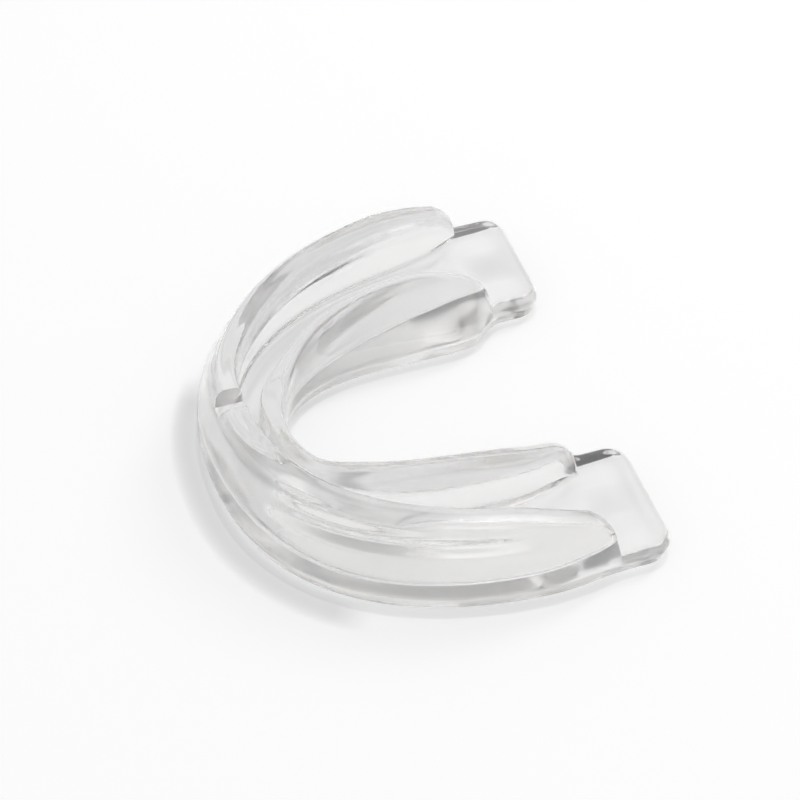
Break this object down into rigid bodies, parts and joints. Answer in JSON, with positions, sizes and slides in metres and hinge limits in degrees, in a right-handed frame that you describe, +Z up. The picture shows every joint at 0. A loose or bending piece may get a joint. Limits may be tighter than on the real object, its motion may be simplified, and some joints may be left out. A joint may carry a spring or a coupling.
{
  "type": "mouthguard",
  "caption": "Clear horseshoe mouthguard: tall outer wall, lower inner wall, deep tooth trough with a thin floor, lip notch and flat rear tabs.",
  "frame": {"origin": "middle of the outline, on the flat underside", "axes": "+X across the arms, +Y from the front teeth to the back teeth, +Z up out of the trough"},
  "size_m": [0.0626, 0.051, 0.015],
  "materials": {
    "clear_eva": "clear, soft, glossy"
  },
  "bodies": {
    "root": {"mouthguard": "clear_eva"}
  },
  "joints": []
}
